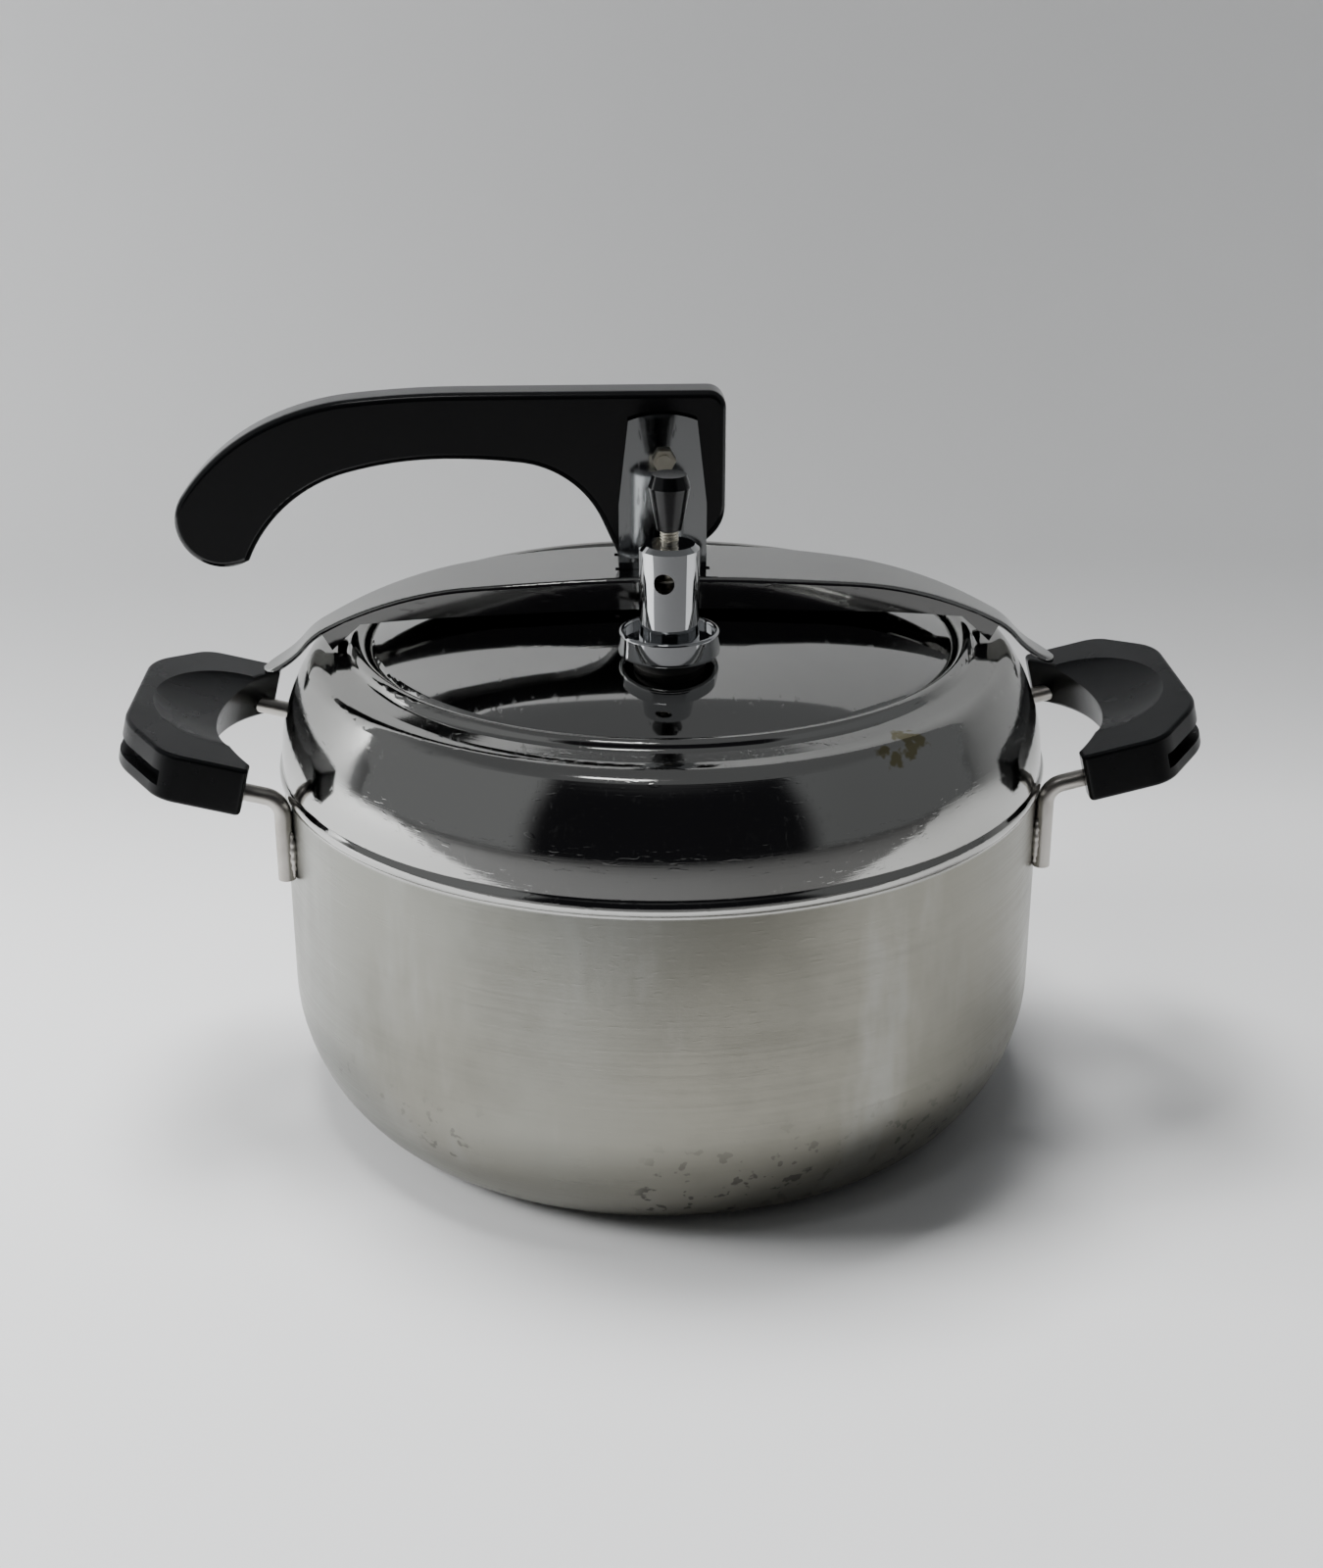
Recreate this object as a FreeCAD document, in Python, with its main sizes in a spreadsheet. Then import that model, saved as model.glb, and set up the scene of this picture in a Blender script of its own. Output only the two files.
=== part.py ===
import FreeCAD, Part

import math
import os
import re

import Sketcher
from FreeCAD import Placement, Rotation, Vector

# Lever-closing pressure canner, in millimetres.
# Origin: centre of the pot's base, on the surface that it stands on. +Z up, +X along the bridge.

os.makedirs("parts", exist_ok=True)
doc = FreeCAD.newDocument("pressure_canner")

SIZES = {
    # pot
    "pot_radius": 112, "pot_wall": 1.5, "base_round": 20, "base_sweep": 50, "base_angle": 50,
    "bead_level": 102.5, "bead_cove": 1.5, "bead_round": 3, "bead_angle": 40,
    "bulge_round": 48.8, "bulge_angle": 35, "shoulder_round": 6.3,
    "neck_round": 8, "neck_angle": 15, "neck_length": 4, "lip_cove": 2, "lip_cove_angle": 55,
    "lip_round": 2.3, "lip_drop": 1,
    # lid
    "lid_top": 152.5, "lid_radius": 85.5, "lid_wall": 1.5, "crown_round": 550, "crown_angle": 4.7,
    "dome_angle": 21, "lid_edge_round": 3, "flange_top": 134.2, "flange_width": 9.5,
    "gasket_inner": 88, "gasket_outer": 95.5, "gasket_height": 3, "gasket_groove": 1,
    # bridge
    "bridge_top": 163.4, "bridge_wall": 1.5, "span_round": 474, "span_angle": 6.66,
    "fall_round": 115.5, "fall_angle": 23.1, "knee_round": 20, "knee_angle": 20.2,
    "toe_round": 28.5, "toe_angle": 30, "bridge_half_width": 16.5, "waist_round": 900,
    "waist_angle": 2, "taper_round": 170, "taper_angle": 7, "taper_length": 40,
    "tongue_cove": 60, "tongue_length": 11.1, "skirt_round": 613, "skirt_reach": 87,
    "skirt_level": 148, "foot_reach": 95.5, "foot_level": 139.9, "bridge_edge_round": 1.3,
    "slot_length": 27, "slot_width": 2.8,
    # bracket, pivot and lever
    "bracket_half_width": 12.5, "bracket_head": 9.7, "bracket_shoulder": 182.5,
    "bracket_corner": 206.5, "bracket_crown": 26, "bracket_depth": 16, "bracket_gap": 12,
    "bracket_floor": 2, "rivet_spacing": 15, "rivet_radius": 2.5, "rivet_head": 4,
    "rivet_head_height": 1.4, "pivot_across": 0.3, "pivot_level": 195.5, "pivot_radius": 2,
    "pivot_clearance": 0.06, "bolt_hex": 3.4, "bolt_head_height": 2.6, "nut_height": 2.6,
    "bolt_end": 1, "bushing_radius": 5, "lever_thick": 11.4, "lever_edge_round": 2,
    "cam_start": -6, "cam_level": 163.9, "cam_round": 29, "cam_turn": 45, "heel_round": 12,
    "lever_top": 214.2, "head_round": 5, "lever_flat_end": -56,
    "brow_round": 300, "brow_angle": 6, "back_round": 75, "back_angle": 19,
    "neck_bend_round": 62, "neck_bend_angle": 30, "bulb_round": 13.3, "bulb_angle": 125,
    "chin_round": 14, "chin_angle": 30, "notch_angle": 37, "grasp_round": 44,
    "grasp_angle": 52, "palm_round": 107, "palm_angle": 15, "roof_round": 172,
    "roof_angle": 7, "throat_round": 29, "throat_angle": 59, "shank_length": 12.4,
    "shank_round": 3, "shank_angle": 66,
    # operating valve
    "valve_offset": -48, "valve_stem_radius": 5, "valve_stem_bore": 2.5, "valve_stem_low": 140,
    "valve_stem_high": 161, "collar_low": 152, "collar_high": 159, "collar_radius": 13.8,
    "collar_lip": 1.6, "collar_recess": 2, "collar_round": 1.2, "valve_radius": 8.15,
    "valve_bore": 4.6, "valve_top": 183, "valve_cap": 2, "valve_chamfer": 1.3,
    "valve_pin_radius": 2.2, "valve_pin_gap": 0.08, "valve_pin_top": 194, "vent_level": 174,
    "vent_radius": 2.8, "vent_angle": 13, "spring_radius": 3.5, "spring_wire": 0.45,
    "spring_pitch": 2.6, "spring_clearance": 0.15, "pin_disc_radius": 4.2, "pin_disc_low": 161.3,
    "pin_disc_height": 1.6, "knob_low": 187, "knob_top": 202, "knob_radius": 5.65,
    "knob_foot_radius": 3.45, "knob_shoulder": 198.6, "knob_top_radius": 4.6,
    "gasket_ring_radius": 10, "valve_gasket_low": 146.6, "valve_nut_radius": 9.2,
    "valve_nut_height": 4,
    # safety valve
    "safety_offset": 48, "safety_flange": 9, "safety_radius": 6, "safety_flange_top": 154,
    "safety_top": 160, "safety_bore": 3, "safety_gap": 0.08, "safety_head": 4.5,
    "safety_head_height": 1.8, "safety_stem_low": 141,
    # side handles
    "wire_radius": 2.5, "wire_spread": 34, "wire_bend": 6, "wire_low": 80, "wire_reach": 142,
    "grip_tilt": 14, "grip_start": 117, "grip_seam": 106.6, "grip_end": 157.5, "grip_run": 18,
    "grip_corner": 20, "grip_corner_turn": 38, "grip_slant": 12, "grip_back_round": 10,
    "grip_side": 17, "grip_tip_round": 1.5, "grip_tip_land": 4, "finger_round": 60,
    "finger_angle": 39.3, "grip_above": 10.6, "grip_below": 3.8, "grip_edge_round": 1.2,
    "scoop_across": 129.5, "scoop_rise": 1.5, "scoop_width": 24, "scoop_length": 30,
    "scoop_depth": 5.2, "groove_start": 135, "groove_length": 84, "groove_depth": 4, "groove_height": 4.5,
    "screw_spread": 32, "screw_across": 136, "screw_radius": 1.6, "screw_head": 3,
    "screw_head_height": 1.8, "screw_length": 9,
}

sheet = doc.addObject("Spreadsheet::Sheet", "size")
for row, (alias, amount) in enumerate(SIZES.items(), start=1):
    sheet.set("A%d" % row, alias)
    sheet.set("B%d" % row, str(amount))
    sheet.setAlias("B%d" % row, alias)
doc.recompute()


# ---------------------------------------------------------------- expressions and outlines

def bound(text):
    """Point every alias in an expression at the sheet."""
    return re.sub(r"\b([a-z]+(?:_[a-z]+)+)\b", r"size.\1", str(text))


def value(text):
    """The number that an expression gives now."""
    return float(sheet.evalExpression(bound(text)))


def bind(thing, **fields):
    """Bind properties of an object to expressions."""
    for field, text in fields.items():
        thing.setExpression(field, bound(text))


def walk(start, heading, steps, offset=0):
    """Corners of a chain of straight runs and tangent arcs.

    A step is (length,) or (radius, turn); turns to the left are positive. The chain can be
    drawn at an offset to its right, which makes the other skin of a sheet-metal part.
    A corner is (across, up, bend): bend is the radius of the arc that arrives there, with a
    minus sign for a right turn, or None for a straight edge.
    """
    across = "%s + (%s) * sin(%s)" % (start[0], offset, heading)
    up = "%s - (%s) * cos(%s)" % (start[1], offset, heading)
    corners = [(across, up, None)]
    for step in steps:
        if len(step) == 1:
            across = "%s + (%s) * cos(%s)" % (across, step[0], heading)
            up = "%s + (%s) * sin(%s)" % (up, step[0], heading)
            corners.append((across, up, None))
            continue
        radius, turn = step
        hand = 1 if value(turn) > 0 else -1
        bend = "(%d * (%s) + (%s))" % (hand, radius, offset)
        after = "(%s + (%s))" % (heading, turn)
        across = "%s + %s * (sin(%s) - sin(%s))" % (across, bend, after, heading)
        up = "%s + %s * (cos(%s) - cos(%s))" % (up, bend, heading, after)
        corners.append((across, up, bend))
        heading = after
    return corners


def backwards(corners):
    """The same chain, walked from its end."""
    bends = [None] + ["-1 * %s" % bend if bend else None for _, _, bend in corners[:0:-1]]
    return [(across, up, bend) for (across, up, _), bend in zip(corners[::-1], bends)]


def mirrored(corners, flip, joined=True, bend=None):
    """A chain followed by its mirror image, walked back to the start.

    joined: the chain ends on the mirror line; if not, bend is that of the edge across it.
    """
    source = corners[:-1] if joined else corners
    arriving = corners[-1][2] if joined else bend
    image = []
    for across, up, own in reversed(source):
        if flip == "across":
            image.append(("-1 * (%s)" % across, up, arriving))
        else:
            image.append((across, "-1 * (%s)" % up, arriving))
        arriving = own
    return corners + image


def closed(corners):
    """Drop a last corner that repeats the first, and keep its bend."""
    first = corners[0]
    return [(first[0], first[1], corners[-1][2])] + corners[1:-1]


def arc_between(start, end, radius):
    """Arc from start to end; a positive radius turns to the left."""
    middle = (start + end) * 0.5
    chord = end - start
    rise = math.sqrt(max(radius * radius - chord.Length ** 2 / 4, 0))
    normal = Vector(-chord.y, chord.x, 0).normalize()
    centre = middle + normal * (rise if radius > 0 else -rise)
    first, last = (start, end) if radius > 0 else (end, start)
    circle = Part.Circle(centre, Vector(0, 0, 1), abs(radius))
    angles = [math.atan2(spot.y - centre.y, spot.x - centre.x) for spot in (first, last)]
    return Part.ArcOfCircle(circle, *angles)


def trace(sketch, corners):
    """Draw a closed outline; every corner and every radius is bound to the sheet."""
    spots = [Vector(value(across), value(up), 0) for across, up, _ in corners]
    ends = []
    for number, (_, _, bend) in enumerate(corners):
        start = spots[number - 1]
        end = spots[number]
        if bend is None:
            sketch.addGeometry(Part.LineSegment(start, end))
            ends.append((1, 2))
        else:
            radius = value(bend)
            sketch.addGeometry(arc_between(start, end, radius))
            ends.append((1, 2) if radius > 0 else (2, 1))
    for number, (across, up, bend) in enumerate(corners):
        following = (number + 1) % len(corners)
        finish = ends[number][1]
        sketch.addConstraint(
            Sketcher.Constraint("Coincident", number, finish, following, ends[following][0]))
        for kind, amount in (("DistanceX", across), ("DistanceY", up)):
            place = sketch.addConstraint(
                Sketcher.Constraint(kind, -1, 1, number, finish, value(amount)))
            sketch.setExpression("Constraints[%d]" % place, bound(amount))
        if bend is not None:
            place = sketch.addConstraint(Sketcher.Constraint("Radius", number, abs(value(bend))))
            sketch.setExpression("Constraints[%d]" % place, bound("abs(%s)" % bend))


def points(*pairs):
    """Straight-edged corners."""
    return [(str(across), str(up), None) for across, up in pairs]


# ---------------------------------------------------------------- features

def plane_of(body, role):
    return next(item for item in body.Origin.OriginFeatures if item.Role == role)


def body_sketch(body, role, name, corners=None):
    sketch = body.newObject("Sketcher::SketchObject", name)
    sketch.AttachmentSupport = [(plane_of(body, role), "")]
    sketch.MapMode = "FlatFace"
    if corners:
        trace(sketch, corners)
    return sketch


def turned(name, corners):
    """A body turned about its own vertical axis."""
    body = doc.addObject("PartDesign::Body", name)
    sketch = body_sketch(body, "XZ_Plane", name + "_outline", corners)
    turn = body.newObject("PartDesign::Revolution", name + "_turn")
    turn.Profile = sketch
    turn.ReferenceAxis = (sketch, ["V_Axis"])
    turn.Angle = 360
    body.Tip = turn
    return body


def moulded(name, role, corners, thickness, symmetric):
    """A body padded from one outline."""
    body = doc.addObject("PartDesign::Body", name)
    sketch = body_sketch(body, role, name + "_outline", corners)
    pad = body.newObject("PartDesign::Pad", name + "_pad")
    pad.Profile = sketch
    pad.SideType = "Symmetric" if symmetric else "One side"
    bind(pad, Length=thickness)
    body.Tip = pad
    return body


def extruded(name, corners, thickness, upright):
    """A solid block with the given outline, standing on XZ or lying on XY."""
    sketch = doc.addObject("Sketcher::SketchObject", name + "_outline")
    if upright:
        sketch.Placement = Placement(Vector(), Rotation(Vector(1, 0, 0), 90))
    trace(sketch, corners)
    block = doc.addObject("Part::Extrusion", name)
    block.Base = sketch
    block.DirMode = "Normal"
    block.Solid = True
    block.Symmetric = upright
    bind(block, LengthFwd=thickness)
    return block


def cylinder(name, radius, length, at=(0, 0, 0), axis=Vector(0, 0, 1)):
    rod = doc.addObject("Part::Cylinder", name)
    bind(rod, Radius=radius, Height=length)
    place(rod, at, Rotation(Vector(0, 0, 1), axis))
    return rod


def box(name, length, width, height, at):
    block = doc.addObject("Part::Box", name)
    bind(block, Length=length, Width=width, Height=height)
    place(block, at)
    return block


def hexagon(name, circumradius, height, at, axis=Vector(0, 0, 1)):
    block = doc.addObject("Part::Prism", name)
    block.Polygon = 6
    bind(block, Circumradius=circumradius, Height=height)
    place(block, at, Rotation(Vector(0, 0, 1), axis))
    return block


def place(thing, at, rotation=Rotation()):
    """Put a thing at a spot whose coordinates are bound to the sheet."""
    thing.Placement = Placement(Vector(*[value(amount) for amount in at]), rotation)
    for letter, amount in zip("xyz", at):
        thing.setExpression(".Placement.Base.%s" % letter, bound(amount))


def cut(name, base, tool):
    return combined("Part::Cut", name, base, tool)


def fuse(name, base, tool):
    return combined("Part::Fuse", name, base, tool)


def common(name, base, tool):
    return combined("Part::Common", name, base, tool)


def combined(kind, name, base, tool):
    result = doc.addObject(kind, name)
    result.Base = base
    result.Tool = tool
    return result


def rounded(name, base, radius, picks):
    """Fillet the edges of a shape that the test picks."""
    doc.recompute()
    result = doc.addObject("Part::Fillet", name)
    result.Base = base
    size = value(radius)
    result.Edges = [(number, size, size)
                    for number, edge in enumerate(base.Shape.Edges, start=1) if picks(edge)]
    return result


def bent_rod(corners, bend, radius):
    """Solid of a round rod along straight runs that are joined by tangent bends."""
    edges = []
    start = corners[0]
    for before, corner, after in zip(corners, corners[1:], corners[2:]):
        arriving = (corner - before).normalize()
        leaving = (after - corner).normalize()
        setback = bend * math.tan(arriving.getAngle(leaving) / 2)
        first = corner - arriving * setback
        last = corner + leaving * setback
        inward = (leaving - arriving).normalize()
        half = math.sin((math.pi - arriving.getAngle(leaving)) / 2)
        middle = corner + inward * (bend / half - bend)
        edges.append(Part.makeLine(start, first))
        edges.append(Part.Arc(first, middle, last).toShape())
        start = last
    edges.append(Part.makeLine(start, corners[-1]))
    ring = Part.Wire(Part.makeCircle(radius, corners[0], corners[1] - corners[0]))
    return Part.Wire(edges).makePipeShell([ring], True, True)


parts = []


def finish(thing, name):
    """Register a finished sub-part; its label names its file."""
    thing.Label = name
    parts.append(thing)
    return thing


# ---------------------------------------------------------------- pot

def pot_steps():
    base_flat = "(pot_radius - base_round * sin(base_angle) - base_sweep * (1 - sin(base_angle)))"
    wall_length = ("(bead_level - base_round * (1 - cos(base_angle))"
                   " - base_sweep * cos(base_angle))")
    return [
        (base_flat,),
        ("base_round", "base_angle"),
        ("base_sweep", "90 - base_angle"),
        (wall_length,),
        ("bead_cove", "-1 * bead_angle"),
        ("bead_round", "2 * bead_angle"),
        ("bead_cove", "-1 * bead_angle"),
        ("bulge_round", "bulge_angle"),
        ("shoulder_round", "90 - bulge_angle"),
        ("neck_round", "-1 * neck_angle"),
        ("neck_length",),
        ("lip_cove", "-1 * lip_cove_angle"),
        ("lip_round", "90 + neck_angle + lip_cove_angle"),
        ("lip_drop",),
    ]


def sheet_metal(start, heading, steps, offset):
    """Closed outline of a sheet between a chain and the same chain at an offset."""
    return walk(start, heading, steps) + backwards(walk(start, heading, steps, offset))


finish(turned("pot_body", sheet_metal(("0", "0"), "0", pot_steps(), "-1 * pot_wall")), "pot_body")


# ---------------------------------------------------------------- lid

DOME_ROUND = ("((lid_radius - crown_round * sin(crown_angle)"
              " - lid_edge_round * (1 - sin(dome_angle)))"
              " / (sin(dome_angle) - sin(crown_angle)))")
RISER = ("(lid_top - crown_round * (1 - cos(crown_angle))"
         " - %s * (cos(crown_angle) - cos(dome_angle))"
         " - lid_edge_round * cos(dome_angle) - lid_wall - flange_top)" % DOME_ROUND)
LID_STEPS = [
    ("crown_round", "-1 * crown_angle"),
    (DOME_ROUND, "crown_angle - dome_angle"),
    ("lid_edge_round", "dome_angle - 90"),
    (RISER,),
    ("lid_wall", "90"),
    ("flange_width",),
]


def lid():
    plate = turned("lid_disc", sheet_metal(("0", "lid_top"), "0", LID_STEPS, "lid_wall"))
    holes = [
        cylinder("valve_hole", "valve_stem_radius", "lid_top", ("0", "valve_offset", "0")),
        cylinder("safety_hole", "valve_stem_radius", "lid_top", ("0", "safety_offset", "0")),
    ]
    for number, side in enumerate((-1, 1)):
        across = "%d * rivet_spacing / 2" % side
        holes.append(cylinder("rivet_hole_%d" % number, "rivet_radius",
                              "2 * lid_top", (across, "0", "0")))
    tool = doc.addObject("Part::MultiFuse", "lid_holes")
    tool.Shapes = holes
    finish(cut("lid_plate", plate, tool), "lid_plate")
    top = "(flange_top + gasket_height)"
    middle = "(flange_top + gasket_height / 2)"
    finish(turned("lid_gasket", points(
        ("gasket_inner", "flange_top"), ("gasket_outer", "flange_top"),
        ("gasket_outer", "%s - gasket_groove / 2" % middle),
        ("gasket_outer - gasket_groove", middle),
        ("gasket_outer", "%s + gasket_groove / 2" % middle),
        ("gasket_outer", top), ("gasket_inner", top))), "lid_gasket")
    return plate


lid_disc = lid()


# ---------------------------------------------------------------- bridge

FALL_STEPS = [
    ("span_round", "-1 * span_angle"),
    ("fall_round", "-1 * fall_angle"),
]
TONGUE_STEPS = [
    ("knee_round", "-1 * knee_angle"),
    ("toe_round", "toe_angle"),
]
PLAN_STEPS = [
    ("waist_round", "-1 * waist_angle"),
    ("taper_round", "-1 * taper_angle"),
    ("taper_length",),
    ("tongue_cove", "taper_angle"),
    ("tongue_length",),
]


def plan_outline(offset):
    """The bridge from above: widest in the middle, with a round tongue at each end."""
    start = ("0", "bridge_half_width")
    edge = walk(start, "0", PLAN_STEPS)
    end_round = "((%s) / cos(waist_angle))" % edge[-1][1]
    quarter = walk(start, "0", PLAN_STEPS + [(end_round, "waist_angle - 90")], offset)
    return closed(mirrored(mirrored(quarter, "up"), "across"))


def on_crest(solid, edge):
    """Whether an edge runs along the solid's top, with material only inwards and below."""
    middle = edge.valueAt((edge.FirstParameter + edge.LastParameter) / 2)
    ends = edge.valueAt(edge.LastParameter) - edge.valueAt(edge.FirstParameter)
    if abs(ends.z) > abs(ends.x) * 2 or abs(middle.y) < 1:
        return False
    step = 0.4
    inward = Vector(0, -math.copysign(step, middle.y), 0)
    down = Vector(0, 0, -step)
    inside = solid.isInside(middle + inward + down, 0.001, True)
    above = solid.isInside(middle + inward - down, 0.001, True)
    return inside and not above


def bridge():
    top = ("0", "bridge_top")
    wide = "3 * bridge_half_width"
    tall = "bridge_top + bridge_wall"
    steps = FALL_STEPS + TONGUE_STEPS
    strap_half = walk(top, "0", steps) + backwards(walk(top, "0", steps, "bridge_wall"))
    strap = extruded("bridge_strap", closed(mirrored(strap_half, "across")), wide, True)
    skirt_half = walk(top, "0", FALL_STEPS, "bridge_wall / 2")
    skirt_half += points(("foot_reach", "foot_level"), ("skirt_reach", "skirt_level"))
    skirt_outline = closed(mirrored(skirt_half, "across", False, "skirt_round"))
    skirt = extruded("bridge_skirt", skirt_outline, wide, True)
    plan = extruded("bridge_plan", plan_outline("0"), tall, False)
    blank = common("bridge_blank", fuse("bridge_side", strap, skirt), plan)
    soft = rounded("bridge_soft", blank, "bridge_edge_round",
                   lambda edge: on_crest(blank.Shape, edge))
    hollow_half = walk(top, "0", FALL_STEPS, "bridge_wall")
    hollow_half += points((hollow_half[-1][0], "bridge_top / 2"))
    hollow_outline = closed(mirrored(hollow_half, "across", False))
    hollow_side = extruded("hollow_side", hollow_outline, wide, True)
    hollow_plan = extruded("hollow_plan", plan_outline("bridge_wall"), tall, False)
    channel = cut("bridge_channel", soft, common("bridge_hollow", hollow_side, hollow_plan))
    middle = "(bracket_depth + bracket_gap) / 4"
    slots = []
    for number, side in enumerate((-1, 1)):
        corner = ("-1 * slot_length / 2", "%d * %s - slot_width / 2" % (side, middle),
                  "bridge_top / 2")
        slots.append(box("ear_slot_%d" % number, "slot_length", "slot_width", "bridge_top", corner))
    finish(cut("bridge_slotted", channel, fuse("ear_slots", *slots)), "bridge")


bridge()


# ---------------------------------------------------------------- bracket and its rivets

def bracket():
    half = points(("bracket_half_width", "lid_top"), ("bracket_half_width", "bracket_shoulder"),
                  ("bracket_head", "bracket_corner"))
    outline = mirrored(half, "across", False, "bracket_crown")
    blank = moulded("bracket_blank", "XZ_Plane", outline, "bracket_depth", True)
    gap = box("bracket_slot", "3 * bracket_half_width", "bracket_gap", "bracket_crown * 3",
              ("-1.5 * bracket_half_width", "-1 * bracket_gap / 2", "lid_top + bracket_floor"))
    bore = cylinder("bracket_bore", "pivot_radius", "2 * bracket_depth",
                    ("pivot_across", "-1 * bracket_depth", "pivot_level"), Vector(0, 1, 0))
    rivet_bores = []
    heads = []
    for number, side in enumerate((-1, 1)):
        across = "%d * rivet_spacing / 2" % side
        rivet_bores.append(cylinder("bracket_rivet_bore_%d" % number, "rivet_radius",
                                    "bracket_floor * 2", (across, "0", "lid_top - bracket_floor")))
        shank = cylinder("rivet_shank_%d" % number, "rivet_radius",
                         "bracket_floor + lid_wall + rivet_head_height",
                         (across, "0", "lid_top - lid_wall - rivet_head_height / 2"))
        top = cylinder("rivet_head_%d" % number, "rivet_head", "rivet_head_height",
                       (across, "0", "lid_top + bracket_floor"))
        heads.append(fuse("rivet_%d" % number, shank, top))
    tool = doc.addObject("Part::MultiFuse", "bracket_cuts")
    tool.Shapes = [gap, bore] + rivet_bores
    footed = cut("bracket_cut", blank, tool)
    finish(cut("bracket_seated", footed, lid_disc), "lever_bracket")
    finish(fuse("rivets", *heads), "bracket_rivets")


def pivot():
    length = "(bracket_depth / 2 + nut_height + bolt_end)"
    back = ("pivot_across", "bracket_depth / 2", "pivot_level")
    front = ("pivot_across", "-1 * bracket_depth / 2", "pivot_level")
    head = hexagon("bolt_head", "bolt_hex", "bolt_head_height", back, Vector(0, 1, 0))
    shank = cylinder("bolt_shank", "pivot_radius", length + " + bracket_depth / 2",
                     ("pivot_across", "-1 * " + length, "pivot_level"), Vector(0, 1, 0))
    finish(fuse("bolt", head, shank), "pivot_bolt")
    nut = hexagon("nut_blank", "bolt_hex", "nut_height", front, Vector(0, -1, 0))
    hole = cylinder("nut_bore", "pivot_radius", "nut_height", front, Vector(0, -1, 0))
    finish(cut("nut", nut, hole), "pivot_nut")


bracket()
pivot()


# ---------------------------------------------------------------- lever

LEVER_BACK = [
    ("brow_round", "brow_angle"),
    ("back_round", "back_angle"),
    ("neck_bend_round", "neck_bend_angle"),
    ("bulb_round", "bulb_angle"),
    ("chin_round", "chin_angle"),
]
LEVER_PALM = [
    ("grasp_round", "-1 * grasp_angle"),
    ("palm_round", "-1 * palm_angle"),
    ("roof_round", "-1 * roof_angle"),
    ("throat_round", "-1 * throat_angle"),
    ("shank_length",),
    ("shank_round", "shank_angle"),
]


def lever_outline():
    """The lever from the front: cam, head, flat top, bulb end and the palm side back to the cam."""
    head = [
        ("cam_round", "cam_turn"),
        ("heel_round", "90 - cam_turn"),
    ]
    rise = ("(lever_top - head_round - cam_level - cam_round * (1 - cos(cam_turn))"
            " - heel_round * cos(cam_turn))")
    reach = ("(cam_start - lever_flat_end + cam_round * sin(cam_turn)"
             " + heel_round * (1 - sin(cam_turn)) - head_round)")
    steps = head + [(rise,), ("head_round", "90"), (reach,)] + LEVER_BACK
    outer = walk(("cam_start", "cam_level"), "0", steps)
    tip_across, tip_up, _ = outer[-1]
    palm = walk((tip_across, tip_up), "chin_angle + notch_angle", LEVER_PALM)
    return outer + palm[1:]


def lever():
    outline = lever_outline()
    body = moulded("lever_moulding", "XZ_Plane", outline, "lever_thick", True)
    doc.recompute()
    half = value("lever_thick") / 2
    pad = body.Tip
    rim = ["Edge%d" % number for number, edge in enumerate(pad.Shape.Edges, start=1)
           if all(abs(abs(vertex.Point.y) - half) < 0.01 for vertex in edge.Vertexes)
           and abs(edge.CenterOfMass.y) > half - 0.01]
    soft = body.newObject("PartDesign::Fillet", "lever_soft")
    soft.Base = (pad, rim)
    bind(soft, Radius="lever_edge_round")
    body.Tip = soft
    across = ("pivot_across", "-1 * lever_thick / 2", "pivot_level")
    bore = cylinder("lever_bore", "bushing_radius", "lever_thick", across, Vector(0, 1, 0))
    finish(cut("lever_bored", body, bore), "lever")
    sleeve = cylinder("sleeve", "bushing_radius", "lever_thick", across, Vector(0, 1, 0))
    inside = cylinder("sleeve_bore", "pivot_radius + pivot_clearance", "lever_thick",
                      across, Vector(0, 1, 0))
    finish(cut("bushing", sleeve, inside), "lever_bushing")


lever()


# ---------------------------------------------------------------- operating valve

def at_valve(body):
    place(body, ("0", "valve_offset", "0"))
    return body


def threaded_tube(name, bore, low, high, offset):
    body = turned(name + "_tube", points(
        (bore, low), ("valve_stem_radius", low), ("valve_stem_radius", high), (bore, high)))
    place(body, ("0", offset, "0"))
    return body


def seal(name, offset):
    """Rubber rings above and below the domed lid, shaped by it."""
    ring = turned(name + "_ring", points(
        ("valve_stem_radius", "valve_gasket_low"), ("gasket_ring_radius", "valve_gasket_low"),
        ("gasket_ring_radius", "collar_low"), ("valve_stem_radius", "collar_low")))
    place(ring, ("0", offset, "0"))
    finish(cut(name + "_cut", ring, lid_disc), name)


def hex_nut(name, offset):
    low = ("0", offset, "valve_gasket_low - valve_nut_height")
    blank = hexagon(name + "_blank", "valve_nut_radius", "valve_nut_height", low)
    hole = cylinder(name + "_bore", "valve_stem_radius", "valve_nut_height", low)
    finish(cut(name + "_cut", blank, hole), name)


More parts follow.
